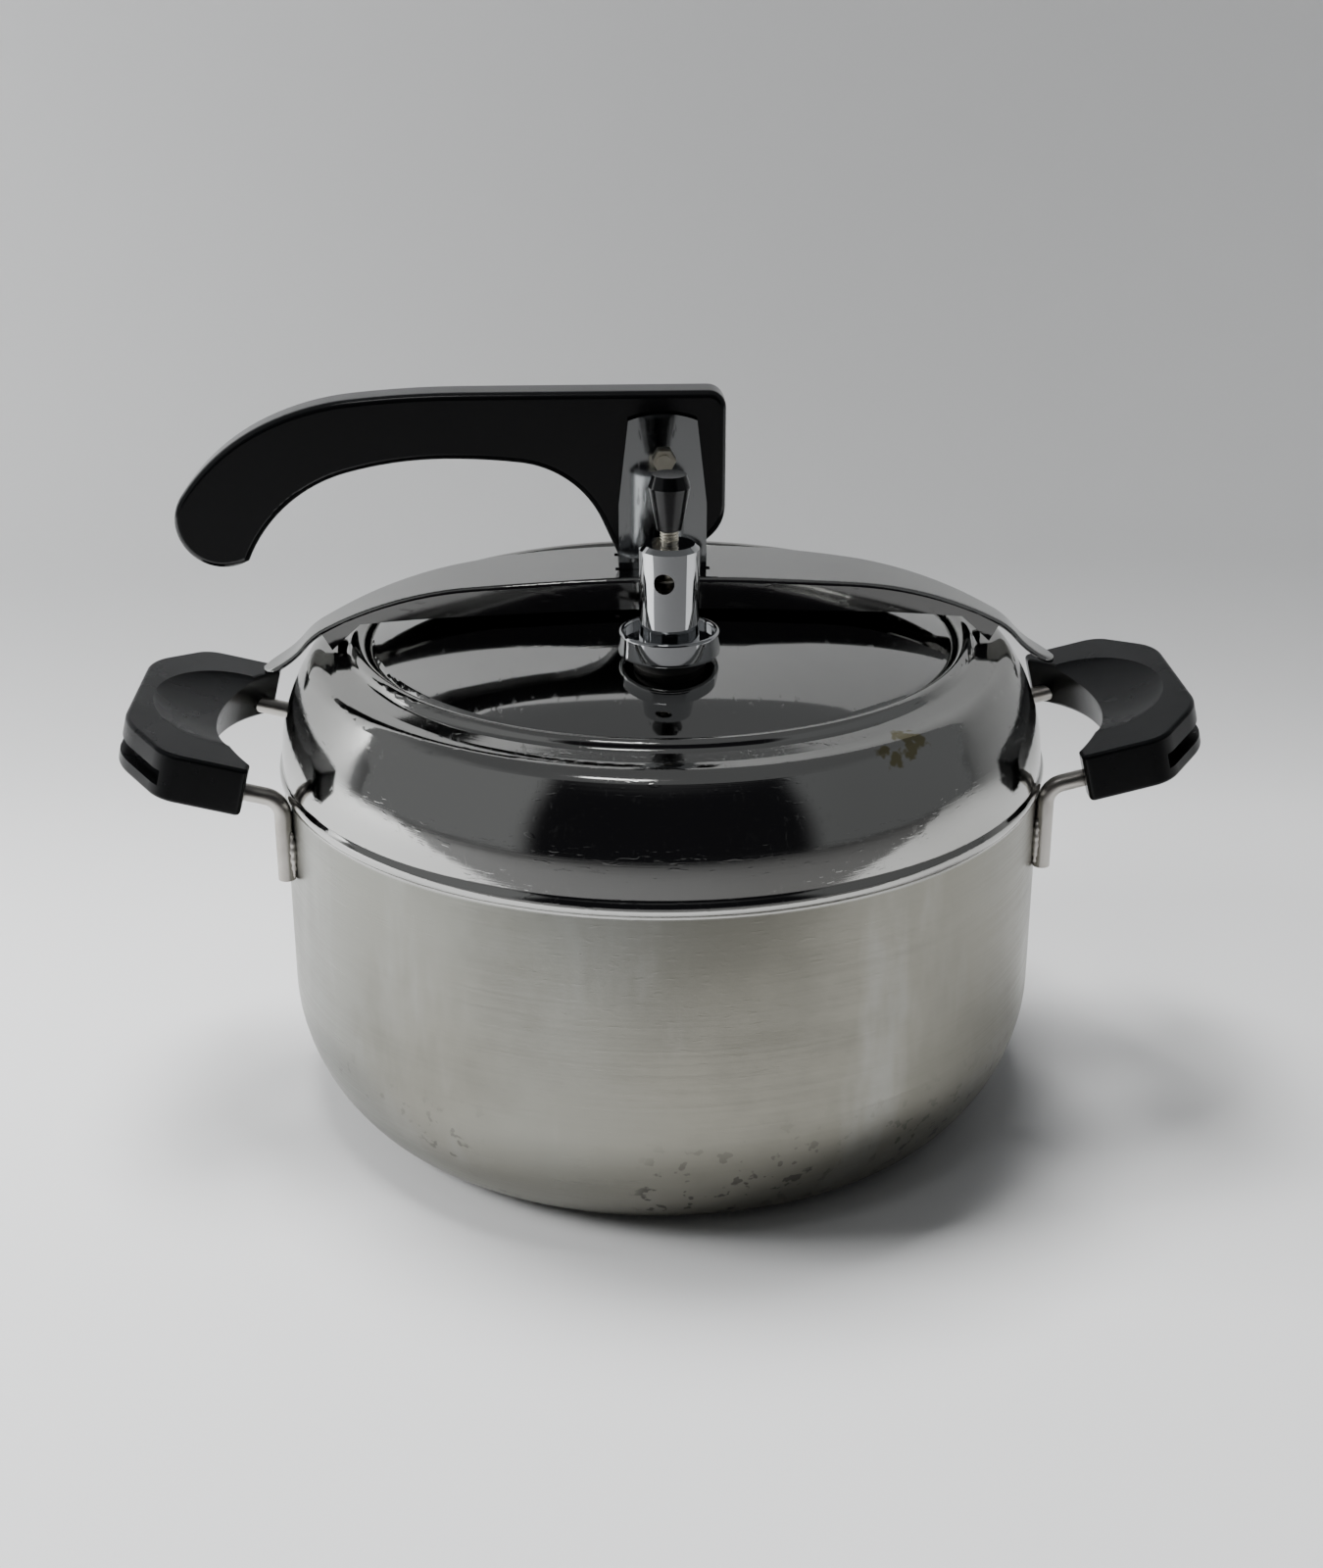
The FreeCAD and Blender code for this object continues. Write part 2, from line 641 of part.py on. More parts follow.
def valve():
    finish(threaded_tube("valve_stem", "valve_stem_bore", "valve_stem_low", "valve_stem_high",
                         "valve_offset"), "valve_stem")
    seal("valve_gaskets", "valve_offset")
    hex_nut("valve_nut", "valve_offset")
    rim = "(collar_radius - collar_lip)"
    floor = "(collar_high - collar_recess)"
    finish(at_valve(turned("collar", [
        ("valve_stem_radius", "collar_low", None),
        ("collar_radius - collar_round", "collar_low", None),
        ("collar_radius", "collar_low + collar_round", "collar_round"),
        ("collar_radius", "collar_high - collar_lip / 2", None),
        (rim, "collar_high - collar_lip / 2", "collar_lip / 2"),
        (rim, floor, None),
        ("valve_radius", floor, None),
        ("valve_radius", "collar_high - collar_lip", None),
        ("valve_stem_radius", "collar_high - collar_lip", None),
    ])), "valve_collar")
    inner_top = "(valve_top - valve_cap)"
    neck = "(valve_pin_radius + valve_pin_gap)"
    shell = at_valve(turned("valve_shell", points(
        ("valve_stem_radius", "collar_high - collar_lip"),
        ("valve_radius", "collar_high - collar_lip"),
        ("valve_radius", "valve_top - valve_chamfer"),
        ("valve_radius - valve_chamfer", "valve_top"), (neck, "valve_top"), (neck, inner_top),
        ("valve_bore", inner_top), ("valve_bore", "valve_stem_high"),
        ("valve_stem_radius", "valve_stem_high"))))
    facing = Rotation(Vector(0, 0, 1), -value("vent_angle")).multVec(Vector(0, -1, 0))
    vent = cylinder("vent", "vent_radius", "2 * valve_radius",
                    ("0", "valve_offset", "vent_level"), facing)
    finish(cut("valve_vented", shell, vent), "valve_body")


def valve_pin():
    disc_top = "(pin_disc_low + pin_disc_height)"
    seat = "(pin_disc_low - pin_disc_height)"
    finish(at_valve(turned("pin", points(
        ("0", seat), ("valve_pin_radius / 2", seat), ("valve_pin_radius", "pin_disc_low"),
        ("pin_disc_radius", "pin_disc_low"), ("pin_disc_radius", disc_top),
        ("valve_pin_radius", disc_top), ("valve_pin_radius", "valve_pin_top"),
        ("0", "valve_pin_top")))), "valve_pin")
    finish(at_valve(turned("knob", points(
        ("valve_pin_radius", "knob_low"), ("knob_foot_radius", "knob_low"),
        ("knob_radius", "knob_shoulder"), ("knob_top_radius", "knob_top"), ("0", "knob_top"),
        ("0", "valve_pin_top"), ("valve_pin_radius", "valve_pin_top")))), "valve_knob")
    coil = doc.addObject("Part::Helix", "coil")
    low = disc_top + " + spring_wire + spring_clearance"
    span = ("(valve_top - valve_cap - pin_disc_low - pin_disc_height"
            " - 2 * (spring_wire + spring_clearance))")
    bind(coil, Radius="spring_radius", Pitch="spring_pitch", Height=span)
    place(coil, ("0", "valve_offset", low))
    ring = doc.addObject("Part::Circle", "spring_section")
    bind(ring, Radius="spring_wire")
    place(ring, ("spring_radius", "valve_offset", low), Rotation(Vector(1, 0, 0), 90))
    spring = doc.addObject("Part::Sweep", "spring")
    spring.Sections = [ring]
    spring.Spine = (coil, ["Edge1"])
    spring.Solid = True
    spring.Frenet = True
    finish(spring, "valve_spring")


valve()
valve_pin()


# ---------------------------------------------------------------- safety valve

def safety_valve():
    seal("safety_valve_gaskets", "safety_offset")
    hex_nut("safety_valve_nut", "safety_offset")
    body = turned("safety_shell", points(
        ("safety_bore", "safety_stem_low"), ("valve_stem_radius", "safety_stem_low"),
        ("valve_stem_radius", "collar_low"), ("safety_flange", "collar_low"),
        ("safety_flange", "safety_flange_top"), ("safety_radius", "safety_flange_top"),
        ("safety_radius", "safety_top"), ("safety_bore", "safety_top")))
    place(body, ("0", "safety_offset", "0"))
    finish(body, "safety_valve_body")
    core = "(safety_bore - safety_gap)"
    head_top = "(safety_top + safety_head_height)"
    plug = turned("safety_core", points(
        ("0", "safety_flange_top"), (core, "safety_flange_top"), (core, "safety_top"),
        ("safety_head", "safety_top"), ("safety_head", head_top), ("0", head_top)))
    place(plug, ("0", "safety_offset", "0"))
    finish(plug, "safety_valve_plug")


safety_valve()


# ---------------------------------------------------------------- side handles

GRIP_STEPS = [
    ("grip_run",),
    ("grip_corner", "grip_corner_turn"),
    ("grip_slant",),
    ("grip_back_round", "90 - grip_corner_turn"),
    ("grip_side",),
    ("grip_tip_round", "90"),
    ("grip_tip_land",),
]


def grip_outline():
    """One half of the grip from above: outer edge, slanted corner, tip and finger cut."""
    half = walk(("grip_end", "0"), "90", GRIP_STEPS)
    depth = "(finger_round * (1 - cos(finger_angle)))"
    half.append(("%s + %s" % (half[-1][0], depth), "0", "-1 * finger_round"))
    return closed(mirrored(half, "up"))


def groove_core():
    """What the groove leaves of the grip's section: the outer edge, set in by its depth."""
    half = walk(("grip_end", "0"), "90", GRIP_STEPS[:-2], "-1 * groove_depth")
    return closed(mirrored(half, "up", joined=False))


def wire_route():
    """Corners of the right handle's rod: two legs on the wall and a loop through the grip."""
    tilt = math.radians(value("grip_tilt"))
    spread = value("wire_spread")
    wall = math.sqrt((value("pot_radius") + value("wire_radius")) ** 2 - spread ** 2)
    knee = value("grip_seam") - (value("grip_start") - wall) * math.tan(tilt)
    run = value("wire_reach") - value("grip_start")
    far = value("grip_start") + run * math.cos(tilt)
    high = value("grip_seam") + run * math.sin(tilt)
    side = [Vector(wall, 0, value("wire_low")), Vector(wall, 0, knee), Vector(far, 0, high)]
    shift = Vector(0, spread, 0)
    return [spot - shift for spot in side] + [spot + shift for spot in reversed(side)]


def side_handle(name, turn):
    """A bent rod, the two halves of its grip, and the screws that clamp them."""
    hinge = Vector(value("grip_start"), 0, 0)
    lean = Placement(Vector(0, 0, value("grip_seam")),
                     Rotation(Vector(0, 1, 0), -value("grip_tilt")), hinge)
    where = Placement(Vector(), Rotation(Vector(0, 0, 1), turn)).multiply(lean)
    rod_shape = bent_rod(wire_route(), value("wire_bend"), value("wire_radius"))
    rod = doc.addObject("Part::Feature", name + "_rod")
    rod.Shape = rod_shape
    rod.Placement = Placement(Vector(), Rotation(Vector(0, 0, 1), turn))
    finish(rod, name + "_handle_wire")
    channel = doc.addObject("Part::Feature", name + "_channel")
    channel.Shape = rod_shape.transformGeometry(lean.inverse().toMatrix())

    screws = []
    for number, side in enumerate((-1, 1)):
        at = ("screw_across", "%d * screw_spread / 2" % side, "-1 * grip_below")
        shank = cylinder("%s_screw_shank_%d" % (name, number), "screw_radius", "screw_length", at)
        head = cylinder("%s_screw_head_%d" % (name, number), "screw_head",
                        "screw_head_height", at)
        screws.append(fuse("%s_screw_%d" % (name, number), shank, head))
    pair = fuse(name + "_screws", *screws)
    clearances = fuse(name + "_grip_cuts", channel, pair)

    lower_blank = moulded(name + "_lower", "XY_Plane", grip_outline(), "grip_below", False)
    lower_blank.Placement = Placement(Vector(0, 0, -value("grip_below")), Rotation())
    lower_soft = rounded(name + "_lower_soft", lower_blank, "grip_edge_round",
                         lambda edge: flat_at(edge, -value("grip_below")))
    lower = cut(name + "_lower_cut", lower_soft, clearances)

    upper_blank = moulded(name + "_upper", "XY_Plane", grip_outline(), "grip_above", False)
    upper_soft = rounded(name + "_upper_soft", upper_blank, "grip_edge_round",
                         lambda edge: flat_at(edge, value("grip_above")))
    scoop = doc.addObject("Part::Ellipsoid", name + "_scoop")
    bind(scoop, Radius1="scoop_depth", Radius2="scoop_width", Radius3="scoop_length")
    place(scoop, ("scoop_across", "0", "grip_above + scoop_rise"))
    band = box(name + "_band", "grip_end", "groove_length", "groove_height",
               ("groove_start", "-1 * groove_length / 2", "0"))
    core = moulded(name + "_core", "XY_Plane", groove_core(), "groove_height", False)
    groove = cut(name + "_groove", band, core)
    hollows = fuse(name + "_hollows", scoop, groove)
    upper = cut(name + "_upper_cut", cut(name + "_upper_hollowed", upper_soft, hollows),
                clearances)
    for thing, label in ((lower, "_grip_lower"), (upper, "_grip_upper"), (pair, "_grip_screws")):
        copy = doc.addObject("Part::Compound", name + label + "_placed")
        copy.Links = [thing]
        copy.Placement = where
        finish(copy, name + label)


def flat_at(edge, level):
    """Whether an edge lies flat at a height."""
    return all(abs(vertex.Point.z - level) < 0.01 for vertex in edge.Vertexes)


for side_name, side_turn in (("right", 0), ("left", 180)):
    side_handle(side_name, side_turn)


# ---------------------------------------------------------------- checks and files

doc.recompute()
for thing in doc.Objects:
    if "Invalid" in thing.State or "Error" in thing.State:
        raise RuntimeError("%s failed: %s" % (thing.Label, thing.State))
for thing in parts:
    if thing.Shape.isNull() or not thing.Shape.isValid():
        raise RuntimeError("%s has no valid shape" % thing.Label)
for thing in parts:
    thing.Shape.exportStep("parts/%s.step" % thing.Label)
    extent = thing.Shape.BoundBox
    print("%-24s %9.0f mm3  %2d solids  x %7.1f %7.1f  y %7.1f %7.1f  z %6.1f %6.1f" % (
        thing.Label, thing.Shape.Volume, len(thing.Shape.Solids), extent.XMin, extent.XMax,
        extent.YMin, extent.YMax, extent.ZMin, extent.ZMax))
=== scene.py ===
import math

import bmesh
import bpy
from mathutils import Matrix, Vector


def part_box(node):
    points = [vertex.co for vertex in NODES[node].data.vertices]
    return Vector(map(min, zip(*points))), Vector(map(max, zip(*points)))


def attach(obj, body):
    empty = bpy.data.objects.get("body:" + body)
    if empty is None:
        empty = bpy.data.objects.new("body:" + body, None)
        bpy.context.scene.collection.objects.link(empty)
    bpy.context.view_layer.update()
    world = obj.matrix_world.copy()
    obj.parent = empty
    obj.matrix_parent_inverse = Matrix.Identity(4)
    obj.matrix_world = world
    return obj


# Looks for the pressure canner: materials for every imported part, the small details that the
# parts are too plain to show, a pale floor, soft light and the camera. Lengths are in metres.

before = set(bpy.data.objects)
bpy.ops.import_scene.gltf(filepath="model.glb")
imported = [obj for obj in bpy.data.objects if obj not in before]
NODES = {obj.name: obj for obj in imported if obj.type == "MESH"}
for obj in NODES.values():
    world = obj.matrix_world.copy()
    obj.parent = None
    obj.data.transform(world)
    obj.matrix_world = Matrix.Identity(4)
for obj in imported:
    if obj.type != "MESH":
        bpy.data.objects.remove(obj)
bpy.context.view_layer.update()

BEAD_LEVEL = 0.1025
POLISH_START = BEAD_LEVEL - 0.0005
POLISH_FADE = 0.0012
POT_RADIUS = 0.112
STAIN_SPOT = (0.060, -0.083, 0.1335)


# ---------------------------------------------------------------- node helpers

class Tree:
    """A material's node tree with short calls for the nodes used here."""

    def __init__(self, name):
        self.material = bpy.data.materials.new(name)
        self.material.use_nodes = True
        self.nodes = self.material.node_tree.nodes
        self.links = self.material.node_tree.links
        self.shader = self.nodes["Principled BSDF"]
        self.coords = self.nodes.new("ShaderNodeTexCoord").outputs["Object"]

    def put(self, socket, source):
        """Feed a socket from another node's output, or set it to a plain value."""
        if isinstance(source, bpy.types.NodeSocket):
            self.links.new(source, socket)
        else:
            socket.default_value = source

    def node(self, kind, **inputs):
        """New node with its named inputs fed or set."""
        made = self.nodes.new(kind)
        for key, source in inputs.items():
            self.put(made.inputs[key], source)
        return made

    def math(self, operation, first, second=0.0):
        made = self.nodes.new("ShaderNodeMath")
        made.operation = operation
        self.put(made.inputs[0], first)
        self.put(made.inputs[1], second)
        return made.outputs[0]

    def noise(self, scale, detail=3.0, rough=0.55, at=None, stretch=None):
        """Noise over the part's own coordinates, or over others that are given."""
        place = at or self.coords
        if stretch:
            scaled = self.nodes.new("ShaderNodeVectorMath")
            scaled.operation = "MULTIPLY"
            self.put(scaled.inputs[0], place)
            scaled.inputs[1].default_value = stretch
            place = scaled.outputs[0]
        made = self.node("ShaderNodeTexNoise", Vector=place, Scale=scale, Detail=detail,
                         Roughness=rough)
        return made.outputs["Fac"]

    def band(self, source, low, high, start=0.0, end=1.0):
        """Map source from low..high to start..end, smoothly."""
        made = self.nodes.new("ShaderNodeMapRange")
        made.interpolation_type = "SMOOTHSTEP"
        self.put(made.inputs["Value"], source)
        for key, amount in (("From Min", low), ("From Max", high), ("To Min", start),
                            ("To Max", end)):
            self.put(made.inputs[key], amount)
        return made.outputs["Result"]

    def mix(self, factor, first, second):
        """Blend two colours."""
        made = self.nodes.new("ShaderNodeMix")
        made.data_type = "RGBA"
        self.put(made.inputs["Factor"], factor)
        for number, colour in ((6, first), (7, second)):
            self.put(made.inputs[number], colour if isinstance(colour, bpy.types.NodeSocket)
                     else (*colour, 1.0))
        return made.outputs[2]

    def bump(self, height, distance, strength=1.0, under=None):
        made = self.node("ShaderNodeBump", Height=height, Distance=distance, Strength=strength)
        if under:
            self.links.new(under, made.inputs["Normal"])
        return made.outputs["Normal"]

    def around(self, spread):
        """Coordinates round the pot's axis: angle times spread, radius and height."""
        split = self.node("ShaderNodeSeparateXYZ", Vector=self.coords)
        angle = self.math("ARCTAN2", split.outputs["Y"], split.outputs["X"])
        flat = self.node("ShaderNodeCombineXYZ", X=split.outputs["X"], Y=split.outputs["Y"])
        radius = self.nodes.new("ShaderNodeVectorMath")
        radius.operation = "LENGTH"
        self.links.new(flat.outputs[0], radius.inputs[0])
        joined = self.node("ShaderNodeCombineXYZ", X=self.math("MULTIPLY", angle, spread),
                           Y=radius.outputs["Value"], Z=split.outputs["Z"])
        return joined.outputs[0], split.outputs

    def set(self, **inputs):
        """Feed the shader's sockets and give the finished material."""
        for key, source in inputs.items():
            self.put(self.shader.inputs[key.replace("_", " ")], source)
        return self.material


def scratches(tree, scale, stretch, low=0.62, high=0.7):
    """Sparse thin marks: the crest of a stretched noise."""
    return tree.band(tree.noise(scale, 2.0, 0.5, stretch=stretch), low, high)


# ---------------------------------------------------------------- metals

def pot_steel():
    """Satin stainless below the bead, polished above it, with stains and fine marks."""
    tree = Tree("pot_steel")
    ring, axes = tree.around(POT_RADIUS)
    height = axes["Z"]
    polished = tree.band(height, POLISH_START, POLISH_START + POLISH_FADE)
    brushed = tree.noise(1.0, 4.0, 0.6, at=ring, stretch=(18.0, 40.0, 2600.0))
    blotches = tree.noise(14.0, 5.0, 0.62)
    clouds = tree.noise(5.0, 3.0, 0.5)
    fine = scratches(tree, 1.0, (240.0, 240.0, 900.0), 0.6, 0.72)
    swirls = scratches(tree, 1.0, (900.0, 300.0, 420.0), 0.6, 0.7)
    low_zone = tree.band(height, 0.012, 0.045, 1.0, 0.0)
    spots = tree.band(tree.noise(230.0, 2.0, 0.5), 0.60, 0.65)
    spot_field = tree.band(tree.noise(16.0, 2.0, 0.5), 0.42, 0.52)
    pits = tree.math("MULTIPLY", tree.math("MULTIPLY", spots, spot_field), low_zone)
    warm = tree.mix(tree.band(clouds, 0.38, 0.64), (0.265, 0.268, 0.244), (0.243, 0.235, 0.20))
    runs = tree.noise(1.0, 4.0, 0.6, at=ring, stretch=(34.0, 20.0, 9.0))
    stained = tree.mix(tree.band(blotches, 0.45, 0.68, 0.0, 0.55), warm, (0.20, 0.195, 0.165))
    streaked = tree.mix(tree.band(runs, 0.5, 0.72, 0.0, 0.45), stained, (0.37, 0.372, 0.35))
    pitted = tree.mix(tree.math("MULTIPLY", pits, 0.85), streaked, (0.06, 0.055, 0.05))
    bright = tree.mix(tree.band(clouds, 0.4, 0.7), (0.45, 0.45, 0.437), (0.37, 0.366, 0.345))
    reach = tree.nodes.new("ShaderNodeVectorMath")
    reach.operation = "DISTANCE"
    tree.put(reach.inputs[0], tree.coords)
    reach.inputs[1].default_value = STAIN_SPOT
    patch = tree.band(tree.math("ADD", reach.outputs["Value"],
                                tree.band(tree.noise(110.0, 3.0, 0.6), 0.35, 0.65, 0.0, 0.014)),
                      0.010, 0.014, 0.8, 0.0)
    worn = tree.mix(patch, bright, (0.20, 0.175, 0.07))
    colour = tree.mix(polished, pitted, worn)
    satin_rough = tree.band(brushed, 0.3, 0.7, 0.27, 0.36)
    satin_rough = tree.math("ADD", satin_rough, tree.band(blotches, 0.4, 0.75, 0.0, 0.10))
    mirror_rough = tree.math("ADD", tree.band(blotches, 0.35, 0.7, 0.055, 0.10),
                             tree.math("MULTIPLY", swirls, 0.09))
    blend = tree.nodes.new("ShaderNodeMix")
    tree.put(blend.inputs["Factor"], polished)
    tree.put(blend.inputs[2], satin_rough)
    tree.put(blend.inputs[3], mirror_rough)
    lines = tree.bump(brushed, 0.00003, 0.35)
    marks = tree.bump(tree.math("ADD", fine, tree.math("MULTIPLY", pits, -1.0)), 0.00004, 0.3,
                      lines)
    return tree.set(Base_Color=colour, Metallic=1.0, Roughness=blend.outputs[0], Normal=marks)


def mirror_steel(name, grain, tint, rough):
    """Polished stainless: faint smears, hairline marks and a slight unevenness."""
    tree = Tree(name)
    smears = tree.noise(11.0, 5.0, 0.6)
    hair = scratches(tree, 1.0, grain)
    colour = tree.mix(tree.band(smears, 0.35, 0.7), tint, tuple(c * 0.92 for c in tint))
    spread = tree.math("ADD", tree.band(smears, 0.4, 0.75, rough, rough + 0.05),
                       tree.math("MULTIPLY", hair, 0.07))
    wave = tree.bump(tree.noise(24.0, 1.0, 0.4), 0.0004, 0.12)
    marks = tree.bump(hair, 0.00002, 0.25, wave)
    return tree.set(Base_Color=colour, Metallic=1.0, Roughness=spread, Normal=marks)


def plain_metal(name, tint, rough, mark=(0.25, 0.2, 0.15), amount=0.35, grain=420.0):
    """Drawn or turned metal with light tarnish."""
    tree = Tree(name)
    tarnish = tree.noise(60.0, 5.0, 0.65)
    colour = tree.mix(tree.band(tarnish, 0.5, 0.78, 0.0, amount), tint, mark)
    spread = tree.band(tarnish, 0.3, 0.8, rough, rough + 0.18)
    marks = tree.bump(tree.noise(grain, 3.0, 0.6), 0.00005, 0.3)
    return tree.set(Base_Color=colour, Metallic=1.0, Roughness=spread, Normal=marks)


def chrome():
    """Bright plating with faint smears."""
    tree = Tree("valve_chrome")
    smears = tree.noise(90.0, 4.0, 0.6)
    colour = tree.mix(smears, (0.58, 0.59, 0.60), (0.52, 0.53, 0.54))
    spread = tree.band(smears, 0.35, 0.75, 0.03, 0.09)
    marks = tree.bump(tree.noise(700.0, 2.0, 0.5), 0.00001, 0.2)
    return tree.set(Base_Color=colour, Metallic=1.0, Roughness=spread, Normal=marks)


# ---------------------------------------------------------------- plastics and rubber

def bakelite(name, rough, dusty, grain_depth, shine):
    """Black phenolic moulding: near-black with fine dust, faint wear and moulding texture."""
    tree = Tree(name)
    dust = tree.noise(380.0, 4.0, 0.7)
    wear = tree.noise(22.0, 5.0, 0.6)
    specks = tree.band(dust, 0.6, 0.74, 0.0, dusty)
    colour = tree.mix(specks, (0.003, 0.0032, 0.0035), (0.022, 0.023, 0.024))
    spread = tree.band(wear, 0.3, 0.75, rough, rough + 0.12)
    hair = scratches(tree, 1.0, (700.0, 700.0, 160.0), 0.64, 0.7)
    skin = tree.bump(tree.noise(900.0, 3.0, 0.6), grain_depth, 0.35)
    marks = tree.bump(hair, 0.00002, 0.2, skin)
    return tree.set(Base_Color=colour, Metallic=0.0, Roughness=spread, Normal=marks,
                    Specular_IOR_Level=shine)


def rubber():
    """Dull black rubber with a grey bloom."""
    tree = Tree("gasket_rubber")
    bloom = tree.noise(120.0, 4.0, 0.6)
    colour = tree.mix(bloom, (0.02, 0.02, 0.02), (0.06, 0.058, 0.055))
    marks = tree.bump(tree.noise(600.0, 3.0, 0.6), 0.00008, 0.5)
    return tree.set(Base_Color=colour, Roughness=tree.band(bloom, 0.3, 0.7, 0.5, 0.75),
                    Normal=marks)


POT_STEEL = pot_steel()
LID_STEEL = mirror_steel("lid_steel", (500.0, 180.0, 500.0), (0.44, 0.44, 0.43), 0.045)
BRIDGE_STEEL = mirror_steel("bridge_steel", (120.0, 900.0, 500.0), (0.42, 0.42, 0.41), 0.06)
BRACKET_STEEL = mirror_steel("bracket_steel", (700.0, 500.0, 160.0), (0.42, 0.43, 0.43), 0.05)
ROD_STEEL = plain_metal("rod_steel", (0.47, 0.45, 0.42), 0.3)
BOLT_STEEL = plain_metal("bolt_steel", (0.82, 0.78, 0.66), 0.30)
BRASS = plain_metal("valve_brass", (0.72, 0.56, 0.30), 0.25)
CHROME = chrome()
LEVER_BLACK = bakelite("lever_bakelite", 0.10, 0.25, 0.000004, 0.4)
GRIP_BLACK = bakelite("grip_bakelite", 0.2, 0.12, 0.000008, 0.14)
RUBBER = rubber()

FINISHES = {
    "pot_body": POT_STEEL, "lid_plate": LID_STEEL, "bridge": BRIDGE_STEEL,
    "lever_bracket": BRACKET_STEEL, "lever": LEVER_BLACK, "lid_gasket": RUBBER,
    "valve_gaskets": RUBBER, "safety_valve_gaskets": RUBBER, "valve_knob": LEVER_BLACK,
    "valve_stem": CHROME, "valve_collar": CHROME, "valve_body": CHROME,
    "safety_valve_body": CHROME, "safety_valve_plug": BRASS, "valve_pin": BOLT_STEEL,
    "right_handle_wire": ROD_STEEL, "left_handle_wire": ROD_STEEL,
    "right_grip_upper": GRIP_BLACK, "right_grip_lower": GRIP_BLACK,
    "left_grip_upper": GRIP_BLACK, "left_grip_lower": GRIP_BLACK,
}

for name, part in NODES.items():
    part.data.materials.clear()
    part.data.materials.append(FINISHES.get(name, BOLT_STEEL))


# ---------------------------------------------------------------- details

def add_mesh(name, mesh, material, body):
    """Make a piece of the object out of a bmesh."""
    data = bpy.data.meshes.new(name)
    mesh.to_mesh(data)
    mesh.free()
    piece = bpy.data.objects.new(name, data)
    bpy.context.scene.collection.objects.link(piece)
    for face in data.polygons:
        face.use_smooth = True
    data.materials.append(material)
    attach(piece, body)


def tube_along(spots, radii, sides=12):
    """Closed tube through spots, with a radius at each."""
    mesh = bmesh.new()
    rings = []
    for number, (spot, radius) in enumerate(zip(spots, radii)):
        after = spots[min(number + 1, len(spots) - 1)]
        before = spots[max(number - 1, 0)]
        turn = (after - before).to_track_quat("Z", "Y")
        ring = []
        for side in range(sides):
            angle = 2 * math.pi * side / sides
            offset = turn @ Vector((math.cos(angle) * radius, math.sin(angle) * radius, 0))
            ring.append(mesh.verts.new(spot + offset))
        rings.append(ring)
    for first, second in zip(rings, rings[1:]):
        for side in range(sides):
            nxt = (side + 1) % sides
            mesh.faces.new((first[side], first[nxt], second[nxt], second[side]))
    mesh.faces.new(list(reversed(rings[0])))
    mesh.faces.new(rings[-1])
    return mesh


def pin_thread():
    """Screw thread on the valve pin between the body and the knob."""
    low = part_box("valve_body")[1].z
    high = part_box("valve_knob")[0].z
    axis = (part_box("valve_pin")[0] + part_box("valve_pin")[1]) / 2
    pitch = 0.0008
    radius = 0.0022
    ridge = 0.00032
    steps = 24
    count = int((high - low - pitch) / pitch * steps)
    spots = []
    for step in range(count):
        angle = 2 * math.pi * step / steps
        spots.append(Vector((axis.x + radius * math.cos(angle), axis.y + radius * math.sin(angle),
                             low + pitch * (0.5 + step / steps))))
    add_mesh("valve_pin_thread", tube_along(spots, [ridge] * count, 8), BOLT_STEEL,
             "valve_pull")


LEG_ACROSS = 0.10933
LEG_SPREAD = 0.034
WELD_LENGTH = 0.014
WELD_STEPS = 15


def weld(side, front):
    """Two weld beads between a handle leg and the wall."""
    low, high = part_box("%s_handle_wire" % side)
    reach = low.x if side == "left" else high.x
    sign = math.copysign(1.0, reach)
    leg = Vector((sign * LEG_ACROSS, front * LEG_SPREAD, 0))
    inward = -leg.normalized() * 0.0018
    across = Vector((-leg.y, leg.x, 0)).normalized() * 0.0019
    place = "front" if front < 0 else "rear"
    for number, shift in enumerate((-1, 1)):
        base = leg + inward + across * shift
        spots = []
        radii = []
        for step in range(WELD_STEPS):
            share = step / (WELD_STEPS - 1)
            wobble = 0.00025 * math.sin(step * 2.4 + number)
            spots.append(base + Vector((0, 0, low.z + 0.001 + WELD_LENGTH * share)))
            radii.append(0.0011 * math.sin(math.pi * (0.1 + 0.8 * share)) + wobble)
        add_mesh("%s_weld_%s_%d" % (side, place, number), tube_along(spots, radii, 10), ROD_STEEL,
                 "pot")


pin_thread()
for handle in ("left", "right"):
    for leg_side in (-1, 1):
        weld(handle, leg_side)


# ---------------------------------------------------------------- stage, light and camera

WORLD_LEFT = (0.25, 0.255, 0.26)
WORLD_RIGHT = (0.17, 0.175, 0.18)
WORLD_FRONT = (0.012, 0.012, 0.014)
WORLD_TOP = (0.14, 0.143, 0.147)
STAGE_HALF = 2.5
FLOOR_REACH = 2.5
WALL_FOOT = 0.19
WALL_BEND = 0.08
WALL_TOP = 0.55
CLOTH_START = 0.27
CLOTH_END = 2.4
CLOTH_LIFT = 0.001
CAMERA_DISTANCE = 0.6346
CAMERA_HEIGHT = 0.3593
CAMERA_PITCH = 0.397
CAMERA_SWING = math.radians(2.5)


def pale_sheet(name, shade):
    """Matt pale sheet with faint clouds."""
    tree = Tree(name)
    cloud = tree.noise(2.2, 3.0, 0.5)
    colour = tree.mix(cloud, shade, tuple(part + 0.04 for part in shade))
    return tree.set(Base_Color=colour, Roughness=0.6,
                    Normal=tree.bump(tree.noise(300.0, 2.0, 0.5), 0.0001, 0.1))


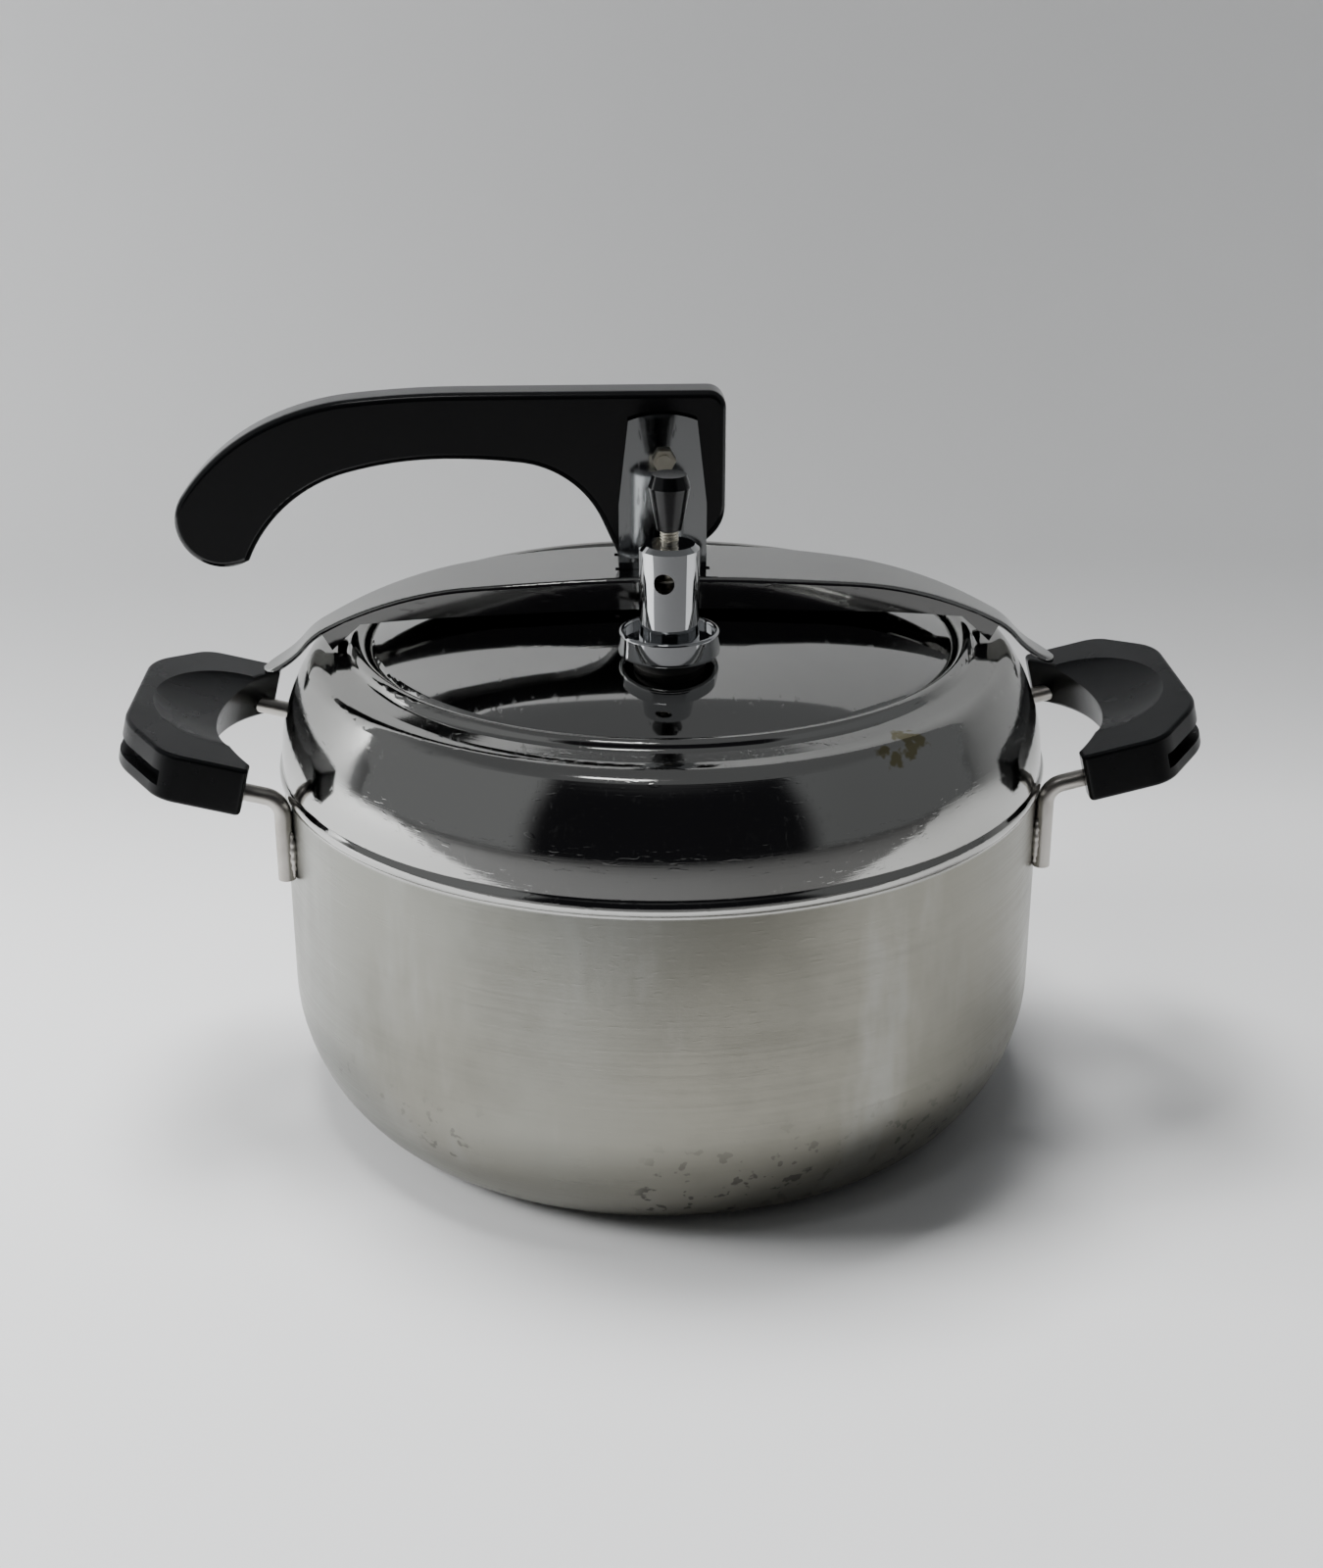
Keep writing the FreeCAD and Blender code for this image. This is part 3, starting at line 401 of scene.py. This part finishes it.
def stage_mesh(name, profile, material):
    """Sheet that follows a profile of (y, z) points, from side to side."""
    verts = [(across, y, z) for y, z in profile for across in (-STAGE_HALF, STAGE_HALF)]
    faces = [(2 * n, 2 * n + 1, 2 * n + 3, 2 * n + 2) for n in range(len(profile) - 1)]
    data = bpy.data.meshes.new(name)
    data.from_pydata(verts, [], faces)
    data.shade_smooth()
    sheet = bpy.data.objects.new(name, data)
    bpy.context.scene.collection.objects.link(sheet)
    data.materials.append(material)


def backdrop_profile():
    """Level floor that curves up into a wall behind the object."""
    sweep = [math.radians(angle) for angle in range(-90, 1, 6)]
    bend = [(WALL_FOOT + WALL_BEND * math.cos(turn), WALL_BEND * (1.0 + math.sin(turn)))
            for turn in sweep]
    return [(-FLOOR_REACH, 0.0), (0.0, 0.0), *bend, (WALL_FOOT + WALL_BEND, WALL_TOP)]


def dark_cloth():
    """Dark table edge in front of the object, below what the camera sees."""
    tree = Tree("dark_cloth")
    weave = tree.noise(90.0, 3.0, 0.5)
    colour = tree.mix(weave, (0.13, 0.13, 0.132), (0.17, 0.17, 0.172))
    return tree.set(Base_Color=colour, Roughness=0.9)


def area_light(name, spot, target, size, power, glossy=True):
    """White rectangular light; without glossy it makes no highlights or reflections."""
    data = bpy.data.lights.new(name, "AREA")
    data.shape = "RECTANGLE"
    data.size, data.size_y = size
    data.energy = power
    lamp = bpy.data.objects.new(name, data)
    bpy.context.scene.collection.objects.link(lamp)
    lamp.location = spot
    lamp.visible_glossy = glossy
    lamp.rotation_euler = (Vector(target) - Vector(spot)).to_track_quat("-Z", "Y").to_euler()


def world_mix(nodes, links, factor, low, high):
    """Mix of two colours or sockets."""
    mix = nodes.new("ShaderNodeMix")
    mix.data_type = "RGBA"
    links.new(factor, mix.inputs["Factor"])
    for slot, side in ((6, low), (7, high)):
        if isinstance(side, tuple):
            mix.inputs[slot].default_value = (*side, 1.0)
        else:
            links.new(side, mix.inputs[slot])
    return mix.outputs[2]


def world_band(nodes, links, source, start, end):
    """Smooth step of a direction component."""
    band = nodes.new("ShaderNodeMapRange")
    band.interpolation_type = "SMOOTHSTEP"
    links.new(source, band.inputs["Value"])
    band.inputs["From Min"].default_value = start
    band.inputs["From Max"].default_value = end
    return band.outputs["Result"]


def make_world():
    """Pale studio behind and beside the object, dark room in front, dim ceiling."""
    world = bpy.data.worlds.new("studio")
    world.use_nodes = True
    nodes = world.node_tree.nodes
    links = world.node_tree.links
    coords = nodes.new("ShaderNodeTexCoord")
    split = nodes.new("ShaderNodeSeparateXYZ")
    links.new(coords.outputs["Generated"], split.inputs[0])
    flat = nodes.new("ShaderNodeVectorMath")
    flat.operation = "MULTIPLY"
    links.new(coords.outputs["Generated"], flat.inputs[0])
    flat.inputs[1].default_value = (1.0, 1.0, 0.0)
    level = nodes.new("ShaderNodeVectorMath")
    level.operation = "NORMALIZE"
    links.new(flat.outputs["Vector"], level.inputs[0])
    heading = nodes.new("ShaderNodeSeparateXYZ")
    links.new(level.outputs["Vector"], heading.inputs[0])
    side = world_band(nodes, links, heading.outputs["X"], -0.7, 0.9)
    pale = world_mix(nodes, links, side, WORLD_LEFT, WORLD_RIGHT)
    front = world_band(nodes, links, heading.outputs["Y"], -0.80, -0.70)
    ring = world_mix(nodes, links, front, WORLD_FRONT, pale)
    ceiling = world_band(nodes, links, split.outputs["Z"], 0.62, 0.82)
    sky = world_mix(nodes, links, ceiling, ring, WORLD_TOP)
    background = nodes["Background"]
    links.new(sky, background.inputs["Color"])
    background.inputs["Strength"].default_value = 1.0
    bpy.context.scene.world = world


def make_camera():
    """Camera at the photograph's angle."""
    data = bpy.data.cameras.new("camera")
    data.sensor_width = 36.0
    data.lens = 52.4
    camera = bpy.data.objects.new("camera", data)
    bpy.context.scene.collection.objects.link(camera)
    camera.location = (-CAMERA_DISTANCE * math.sin(CAMERA_SWING),
                       -CAMERA_DISTANCE * math.cos(CAMERA_SWING), CAMERA_HEIGHT)
    camera.rotation_euler = (math.pi / 2 - CAMERA_PITCH, 0.0, -CAMERA_SWING)
    bpy.context.scene.camera = camera


PALE = pale_sheet("pale_sheet", (0.66, 0.665, 0.67))
stage_mesh("floor", backdrop_profile(), PALE)
stage_mesh("dark_edge", [(-CLOTH_END, CLOTH_LIFT), (-CLOTH_START, CLOTH_LIFT)], dark_cloth())
make_world()
area_light("top_light", (-0.3, 0.45, 2.2), (0, 0, 0.1), (1.0, 0.9), 90.0, glossy=False)
area_light("left_light", (-1.2, -0.1, 0.75), (0, 0.1, 0.2), (0.5, 0.5), 23.0, glossy=False)
area_light("window", (-0.35, -0.75, 1.9), (0, 0, 0.1), (0.5, 0.14), 1.6)
make_camera()
